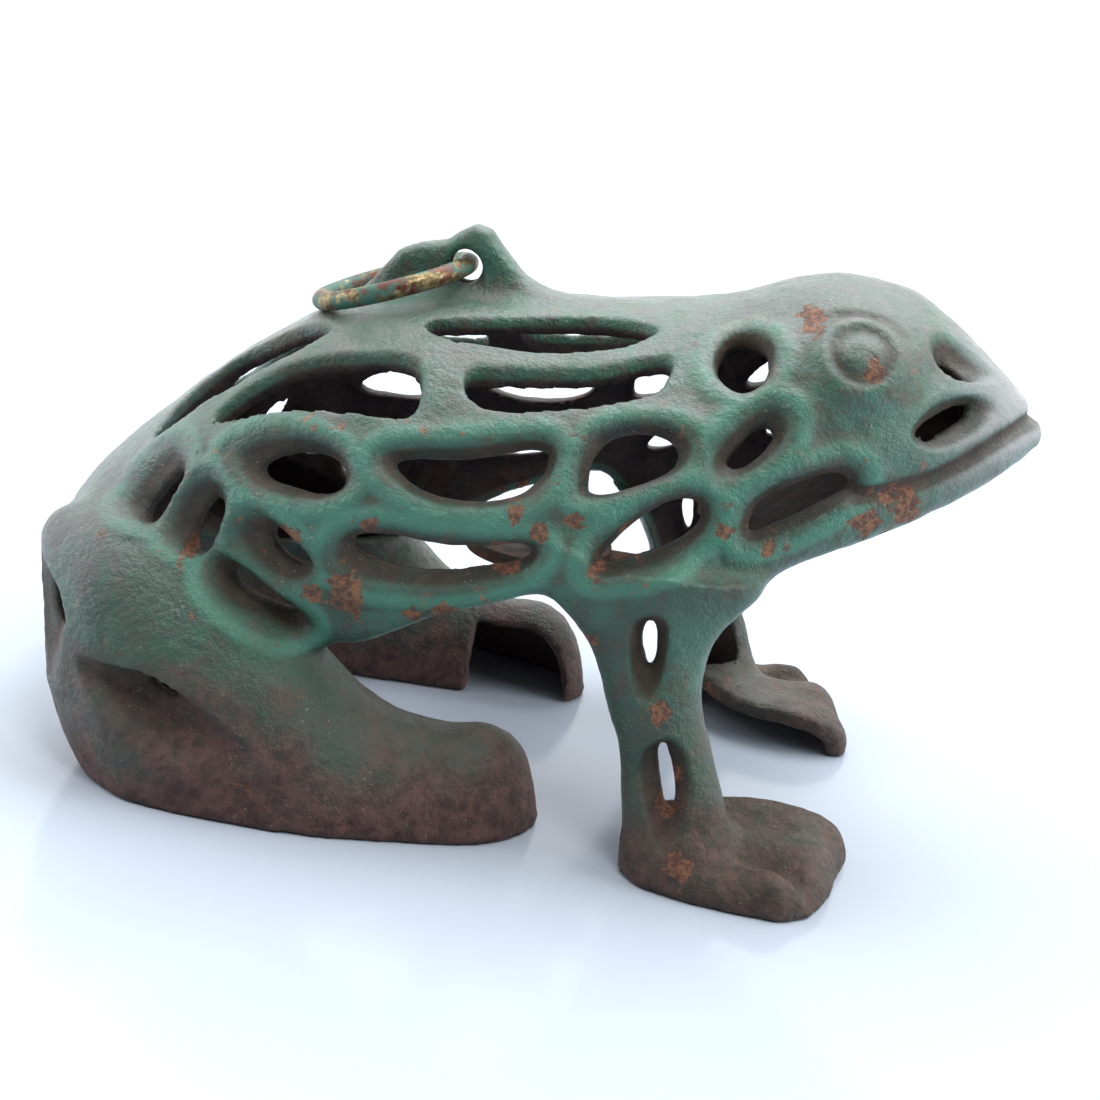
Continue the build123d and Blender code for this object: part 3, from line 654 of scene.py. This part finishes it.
def frog_casting():
    solid, paint, axes = casting_fields()
    half_ys = axes[1]
    whole_ys = np.concatenate([-half_ys[:MIRROR_PAD:-1], half_ys[MIRROR_PAD:]])
    points, quads = surface_nets(mirrored(solid), (axes[0], whole_ys, axes[2]))
    points, quads = largest_piece(points, quads)
    values = {name: read_at(field, axes, points) for name, field in paint.items()}
    normal = vertex_normals(points, quads)
    on_skin = fade(values.pop("depth"), *SKIN_DEPTH)
    lumps = sum(height * noise_at(points, size, seed) for height, size, seed in LUMPS)
    rough_wall = WALL_GRAIN[0] * noise_at(points, *WALL_GRAIN[1:])
    points = points + normal * (lumps + rough_wall * (1 - on_skin))[:, None]
    points[:, 2] = np.maximum(points[:, 2], 0.0)

    chips = np.zeros(len(points))
    for cx, cz, radius in CHIPS:
        away = np.hypot(points[:, 0] - cx, points[:, 2] - cz) / radius
        chips = np.maximum(chips, 1 - away * 0.5)
    values["chips"] = np.clip(chips, 0, 1)
    values["inside"] = 1 - on_skin

    mesh = new_mesh("frog_casting", points * MM, quads)
    for name, value in values.items():
        attribute = mesh.attributes.new(name, "FLOAT", "POINT")
        attribute.data.foreach_set("value", value.astype(np.float32))
    piece = bpy.data.objects.new("frog_casting", mesh)
    bpy.context.scene.collection.objects.link(piece)
    mesh.materials.append(painted_iron())
    return piece


# ---- materials -------------------------------------------------------------------------------------------
# the third green is a painted highlight for the raised rims
DARK_GREEN, SEA_GREEN, RIDGE_HIGHLIGHT_GREEN = (0.010, 0.050, 0.028), (0.020, 0.105, 0.066), (0.032, 0.200, 0.130)
# colours for grime in the recesses, also used as painted shade in the head's grooves
DARK_GRIME_AND_SHADE, GRIME_AND_SHADE = (0.022, 0.017, 0.011), (0.056, 0.040, 0.026)
# dust with painted sheen on top, dust with a painted highlight for the snout, and painted sheen for the
# haunch
DUST_AND_SHEEN, SNOUT_DUST_AND_HIGHLIGHT, HAUNCH_SHEEN = (0.160, 0.175, 0.170), (0.280, 0.285, 0.300), (0.130, 0.135, 0.140)
# painted shade for the lower body
LOW_SHADE = (0.020, 0.026, 0.014)
# LIT_INNER_RUST is rust inside, lightened low down as painted light
DARK_RUST, RUST, LIT_INNER_RUST = (0.038, 0.012, 0.010), (0.115, 0.050, 0.042), (0.150, 0.100, 0.095)
CHIP_RUST, CHIP_ORANGE = (0.080, 0.024, 0.014), (0.230, 0.095, 0.040)
PALE_SPECK = (0.36, 0.38, 0.30)
# soot and bare iron for the inside, darkened as painted shade
SOOT_AND_SHADE, SHADED_IRON = (0.012, 0.006, 0.007), (0.040, 0.020, 0.018)
DARK_BRASS, BRASS = (0.110, 0.085, 0.040), (0.300, 0.230, 0.110)
RING_PAINT, RING_RUST = (0.040, 0.130, 0.095), (0.110, 0.040, 0.025)
STEEL_DARK_RUST, STEEL_RUST, STEEL_SOOT = (0.045, 0.025, 0.018), (0.170, 0.075, 0.040), (0.060, 0.055, 0.055)

MIX_SHARE, MIX_FIRST, MIX_SECOND = 0, 6, 7          # the colour sockets of a Mix node
MIX_RESULT = 2


class Nodes:
    """Short calls for building a material's node tree."""

    def __init__(self, name):
        self.material = bpy.data.materials.new(name)
        self.material.use_nodes = True
        self.tree = self.material.node_tree
        self.shader = self.tree.nodes["Principled BSDF"]
        self.place = self.tree.nodes.new("ShaderNodeTexCoord").outputs["Object"]

    def link(self, value, socket):
        if isinstance(value, bpy.types.NodeSocket):
            self.tree.links.new(value, socket)
        else:
            socket.default_value = value

    def attribute(self, name):
        node = self.tree.nodes.new("ShaderNodeAttribute")
        node.attribute_name = name
        return node.outputs["Fac"]

    def noise(self, size_mm, detail=4.0, roughness=0.6, distortion=0.0):
        mapping = self.tree.nodes.new("ShaderNodeMapping")
        mapping.inputs["Scale"].default_value = [1 / (size_mm * MM)] * 3
        self.link(self.place, mapping.inputs["Vector"])
        node = self.tree.nodes.new("ShaderNodeTexNoise")
        node.inputs["Scale"].default_value = 1.0
        node.inputs["Detail"].default_value = detail
        node.inputs["Roughness"].default_value = roughness
        node.inputs["Distortion"].default_value = distortion
        self.link(mapping.outputs["Vector"], node.inputs["Vector"])
        return node.outputs["Fac"]

    def math(self, operation, a, b):
        node = self.tree.nodes.new("ShaderNodeMath")
        node.operation = operation
        for value, socket in zip((a, b), node.inputs):
            self.link(value, socket)
        return node.outputs[0]

    def ramp(self, value, low, high, first=0.0, last=1.0):
        """Smoothly from first, at low, to last, at high."""
        node = self.tree.nodes.new("ShaderNodeMapRange")
        node.interpolation_type = "SMOOTHSTEP"
        for key, number in (("From Min", low), ("From Max", high), ("To Min", first), ("To Max", last)):
            self.link(number, node.inputs[key])
        self.link(value, node.inputs["Value"])
        return node.outputs[0]

    def mix(self, share, a, b):
        node = self.tree.nodes.new("ShaderNodeMix")
        node.data_type = "RGBA"
        self.link(share, node.inputs[MIX_SHARE])
        for value, socket in ((a, node.inputs[MIX_FIRST]), (b, node.inputs[MIX_SECOND])):
            colour = value if isinstance(value, bpy.types.NodeSocket) else (*value, 1.0)
            self.link(colour, socket)
        return node.outputs[MIX_RESULT]

    def bump(self, height, distance_mm, strength, normal=None):
        node = self.tree.nodes.new("ShaderNodeBump")
        node.inputs["Strength"].default_value = strength
        node.inputs["Distance"].default_value = distance_mm * MM
        self.link(height, node.inputs["Height"])
        if normal is not None:
            self.link(normal, node.inputs["Normal"])
        return node.outputs["Normal"]

    def part_of(self, vector, axis):
        node = self.tree.nodes.new("ShaderNodeSeparateXYZ")
        self.link(vector, node.inputs[0])
        return node.outputs[axis]

    def finish(self, colour, roughness, normal, metallic=0.0):
        self.link(colour, self.shader.inputs["Base Color"])
        self.link(roughness, self.shader.inputs["Roughness"])
        self.link(normal, self.shader.inputs["Normal"])
        self.link(metallic, self.shader.inputs["Metallic"])
        return self.material


def painted_iron():
    """Sea-green paint, dusty on top, grimy in the recesses, chipped to rust, with bare rust low down;
    painted highlight on the rims and snout, painted sheen on top and on the haunch, painted shade in the
    head's grooves, low on the body and inside.
    """
    n = Nodes("painted_iron")
    ridge, recess, inside, chips = (n.attribute(k) for k in ("ridge", "recess", "inside", "chips"))
    height, along = n.part_of(n.place, "Z"), n.part_of(n.place, "X")
    upward = n.part_of(n.tree.nodes.new("ShaderNodeNewGeometry").outputs["Normal"], "Z")
    broad = n.noise(16, 3, 0.55)
    patchy = n.noise(6, 5, 0.62, 0.4)
    grain = n.noise(0.9, 4, 0.7)
    speck = n.noise(0.55, 2, 0.6)

    green = n.mix(n.ramp(broad, 0.35, 0.65), DARK_GREEN, SEA_GREEN)
    # painted highlight: the raised rims round the openings are painted a brighter green
    green = n.mix(n.ramp(ridge, 0.25, 0.95, 0.0, 0.7), green, RIDGE_HIGHLIGHT_GREEN)
    olive = n.mix(n.ramp(patchy, 0.35, 0.65), DARK_GRIME_AND_SHADE, GRIME_AND_SHADE)
    stain = n.math("MULTIPLY", n.ramp(patchy, 0.46, 0.64), n.ramp(ridge, 0.2, 0.9, 0.65, 0.2))
    # grime in the openings' recesses, and painted shade in the eye's grooves, the brow hollow and the lip
    # line
    grime_and_shade = n.math("MULTIPLY", n.ramp(recess, 0.02, 0.55), n.ramp(patchy, 0.30, 0.50, 0.7, 1.0))
    colour = n.mix(n.math("MAXIMUM", grime_and_shade, stain), green, olive)
    # dust and wear on upward faces of the back, with painted sheen where the light falls on top
    wear_and_sheen = n.math("MULTIPLY", n.ramp(upward, 0.35, 0.95, 0.0, 0.7), n.ramp(patchy, 0.30, 0.70, 0.2, 1.0))
    wear_and_sheen = n.math("MULTIPLY", wear_and_sheen, n.ramp(height, 0.050, 0.085))
    colour = n.mix(wear_and_sheen, colour, DUST_AND_SHEEN)
    # dust and a painted highlight on top of the snout
    snout = n.math("MULTIPLY", n.ramp(along, 0.064, 0.086, 0.0, 0.85), n.ramp(upward, -0.3, 0.5, 0.25, 1.0))
    snout = n.math("MULTIPLY", snout, n.ramp(recess, 0.1, 0.6, 1.0, 0.1))
    colour = n.mix(snout, colour, SNOUT_DUST_AND_HIGHLIGHT)
    # painted sheen on the upper haunch
    haunch = n.math("MULTIPLY", n.ramp(along, -0.080, -0.045, 0.6, 0.0), n.ramp(height, 0.028, 0.045))
    haunch = n.math("MULTIPLY", haunch, n.ramp(patchy, 0.3, 0.6, 0.4, 1.0))
    colour = n.mix(haunch, colour, HAUNCH_SHEEN)

    # painted shade: darker towards the bottom of the body
    shade = n.math("MULTIPLY", n.ramp(height, 0.020, 0.040, 0.55, 0.0), n.ramp(broad, 0.35, 0.6, 0.5, 1.0))
    colour = n.mix(shade, colour, LOW_SHADE)
    rust = n.mix(n.ramp(n.noise(3, 5, 0.7), 0.35, 0.65), DARK_RUST, RUST)
    uneven = n.math("MULTIPLY", n.math("SUBTRACT", broad, 0.5), -0.045)
    low = n.ramp(n.math("ADD", height, uneven), 0.004, 0.028, 1.0, 0.0)
    rear = n.ramp(along, 0.000, 0.025, 1.0, 0.75)
    colour = n.mix(n.math("MULTIPLY", n.math("MULTIPLY", low, rear), 0.92), colour, rust)

    orange = n.mix(n.ramp(n.noise(1.2, 4, 0.7), 0.4, 0.6), CHIP_RUST, CHIP_ORANGE)
    ragged = n.math("MULTIPLY", n.math("SUBTRACT", n.noise(3.2, 5, 0.65), 0.5), 1.5)
    chip = n.ramp(n.math("ADD", chips, ragged), 0.56, 0.66, 0.0, 0.9)
    stray = n.ramp(n.math("ADD", n.noise(5, 6, 0.75), n.math("MULTIPLY", ridge, 0.06)), 0.64, 0.68, 0.0, 0.8)
    colour = n.mix(n.math("MAXIMUM", chip, stray), colour, orange)
    pale = n.ramp(n.math("ADD", speck, n.math("MULTIPLY", n.noise(9, 2), 0.3)), 0.84, 0.92, 0.0, 0.5)
    colour = n.mix(pale, colour, PALE_SPECK)

    # the inside: soot and bare iron darkened as painted shade, with rust lightened low down as painted light
    dark = n.mix(n.ramp(patchy, 0.35, 0.65), SOOT_AND_SHADE, SHADED_IRON)
    dark = n.mix(n.ramp(height, 0.018, 0.034, 0.8, 0.0), dark, LIT_INNER_RUST)
    edge = n.ramp(inside, 0.05, 0.75)
    colour = n.mix(edge, colour, dark)

    rough = n.ramp(grain, 0.3, 0.7, 0.28, 0.46)
    dull = n.math("MAXIMUM", low, n.math("MULTIPLY", stain, 0.6))
    dull = n.math("MAXIMUM", grime_and_shade, n.math("MAXIMUM", chip, dull))
    rough = n.math("ADD", rough, n.math("MULTIPLY", n.math("MAXIMUM", dull, shade), 0.28))
    rough = n.math("ADD", rough, n.math("MULTIPLY", edge, 0.35))
    sound = n.math("SUBTRACT", 1.0, n.math("MAXIMUM", dull, n.math("MAXIMUM", edge, shade)))
    n.link(n.math("MULTIPLY", n.math("MAXIMUM", sound, 0.0), 0.5), n.shader.inputs["Coat Weight"])
    n.shader.inputs["Coat Roughness"].default_value = 0.2
    normal = n.bump(grain, 0.5, 0.8)
    normal = n.bump(n.noise(2.4, 5, 0.6), 0.9, 0.6, normal)
    normal = n.bump(chip, -0.25, 0.6, normal)
    n.link(normal, n.shader.inputs["Coat Normal"])
    return n.finish(colour, n.math("MINIMUM", rough, 1.0), normal)


def ring_wire():
    """Tarnished brass wire with paint left on it, and patches of rust."""
    n = Nodes("ring_wire")
    patch = n.noise(5, 4, 0.6, 0.5)
    brass = n.mix(n.ramp(n.noise(1.5, 4, 0.7), 0.4, 0.6), DARK_BRASS, BRASS)
    colour = n.mix(n.ramp(patch, 0.46, 0.54), brass, RING_PAINT)
    rust = n.ramp(n.noise(4, 5, 0.7), 0.52, 0.60)
    colour = n.mix(rust, colour, RING_RUST)
    normal = n.bump(n.noise(0.7, 3, 0.6), 0.15, 0.6)
    return n.finish(colour, n.ramp(patch, 0.3, 0.7, 0.32, 0.6), normal, n.ramp(patch, 0.46, 0.54, 0.7, 0.0))


def rusty_steel():
    """Dark rusty sheet and screws, with sooty patches."""
    n = Nodes("rusty_steel")
    patch = n.noise(4, 5, 0.65)
    colour = n.mix(n.ramp(patch, 0.35, 0.65), STEEL_DARK_RUST, STEEL_RUST)
    colour = n.mix(n.ramp(n.noise(9, 3), 0.45, 0.6), colour, STEEL_SOOT)
    normal = n.bump(n.noise(0.8, 4, 0.7), 0.2, 0.7)
    return n.finish(colour, n.ramp(patch, 0.3, 0.7, 0.45, 0.85), normal, 0.35)


# ---- the object -------------------------------------------------------------------------------------------
casting = frog_casting()
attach(casting, "casting")
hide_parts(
    "body_front_left", "body_front_right", "body_rear_left", "body_rear_right", "head_shell",
    "ring_lug", "tray_web", "rear_leg_left", "rear_leg_right", "front_leg_left", "front_leg_right")

steel = rusty_steel()
fittings = dict.fromkeys(("candle_tray", "candle_spike", "pivot_screw", "pivot_washer", "pivot_nut"), steel)
for node, material in {"hanging_ring": ring_wire(), **fittings}.items():
    mesh = frame["nodes"][node].data
    mesh.materials.clear()
    mesh.materials.append(material)


# ---- floor, light and camera ------------------------------------------------------------
FLOOR_SIZE = 24
FLOOR_DROP = 0.0001                    # keeps the floor just clear of the flat undersides of the feet
FLOOR_GLOW = (0.4, 1.4)                # the floor brightens to white between these distances
CAMERA_YAW, CAMERA_PITCH, CAMERA_ROLL = 5.9, 17.5, -7.7
CAMERA_PLACE = (0.040, -0.365, 0.157)
CAMERA_LENS, SENSOR = 65.45, 36
AIM = (0, 0, 0.05)                     # where the lights point
LIGHTS = (                             # (name, place, size, power, colour)
    ("window", (0.15, 0.55, 1.2), (1.3, 1.0), 19, (0.95, 0.98, 1.0)),
    ("ceiling", (0.25, -0.55, 1.2), (0.35, 0.35), 6, (1.0, 0.99, 0.97)),
    ("wall_left", (-1.2, 0.0, 0.5), (1.0, 0.8), 9, (0.96, 0.97, 1.0)),
    ("wall_right", (1.2, -0.1, 0.6), (0.8, 0.8), 9, (0.96, 0.98, 1.0)),
)
SKY = (("From Min", -0.85), ("From Max", 0.15), ("To Min", 0.06), ("To Max", 1.25))
WHITE = (1.0, 1.0, 1.0, 1.0)


def floor():
    n = Nodes("floor_gloss")
    colour = n.mix(n.noise(300, 2), (0.45, 0.51, 0.60), (0.47, 0.53, 0.62))
    n.finish(colour, 0.14, n.bump(n.noise(60, 2), 0.02, 0.1))
    reach = n.tree.nodes.new("ShaderNodeVectorMath")
    reach.operation = "LENGTH"
    n.link(n.place, reach.inputs[0])
    n.shader.inputs["Emission Color"].default_value = WHITE
    n.link(n.ramp(reach.outputs["Value"], *FLOOR_GLOW), n.shader.inputs["Emission Strength"])
    bpy.ops.mesh.primitive_plane_add(size=FLOOR_SIZE, location=(0, 0, -FLOOR_DROP))
    plane = bpy.context.active_object
    plane.name = "floor"
    plane.data.materials.append(n.material)


def area_light(name, place, size, power, colour):
    data = bpy.data.lights.new(name, "AREA")
    data.shape = "RECTANGLE"
    data.size, data.size_y = size
    data.energy = power
    data.color = colour
    light = bpy.data.objects.new(name, data)
    light.location = place
    light.rotation_mode = "QUATERNION"
    light.rotation_quaternion = (Vector(AIM) - Vector(place)).to_track_quat("-Z", "Y")
    bpy.context.scene.collection.objects.link(light)


def camera():
    yaw, pitch, roll = (math.radians(a) for a in (CAMERA_YAW, CAMERA_PITCH, CAMERA_ROLL))
    forward = Vector((-math.sin(yaw) * math.cos(pitch), math.cos(yaw) * math.cos(pitch), -math.sin(pitch)))
    level = Vector((math.cos(yaw), math.sin(yaw), 0))
    down = forward.cross(level)
    right = level * math.cos(roll) + down * math.sin(roll)
    down = down * math.cos(roll) - level * math.sin(roll)
    data = bpy.data.cameras.new("camera")
    data.sensor_width = SENSOR
    data.lens = CAMERA_LENS
    data.clip_start = 0.01
    data.clip_end = 100
    view = bpy.data.objects.new("camera", data)
    axes = Matrix((right, -down, -forward)).transposed()
    view.matrix_world = Matrix.Translation(CAMERA_PLACE) @ axes.to_4x4()
    bpy.context.scene.collection.objects.link(view)
    bpy.context.scene.camera = view


def studio_world():
    """White all round for the camera, and for the object dark in front and bright behind."""
    world = bpy.data.worlds.new("studio")
    world.use_nodes = True
    tree = world.node_tree
    direction = tree.nodes.new("ShaderNodeTexCoord").outputs["Generated"]
    parts = tree.nodes.new("ShaderNodeSeparateXYZ")
    behind = tree.nodes.new("ShaderNodeMapRange")
    for key, number in SKY:
        behind.inputs[key].default_value = number
    tree.links.new(direction, parts.inputs[0])
    tree.links.new(parts.outputs["Y"], behind.inputs["Value"])
    seen = tree.nodes.new("ShaderNodeMath")
    seen.operation = "MAXIMUM"
    tree.links.new(behind.outputs[0], seen.inputs[0])
    tree.links.new(tree.nodes.new("ShaderNodeLightPath").outputs["Is Camera Ray"], seen.inputs[1])
    tree.links.new(seen.outputs[0], tree.nodes["Background"].inputs["Strength"])
    tree.nodes["Background"].inputs["Color"].default_value = WHITE
    bpy.context.scene.world = world


floor()
for light in LIGHTS:
    area_light(*light)
studio_world()
bpy.context.scene.view_settings.view_transform = "Standard"
camera()
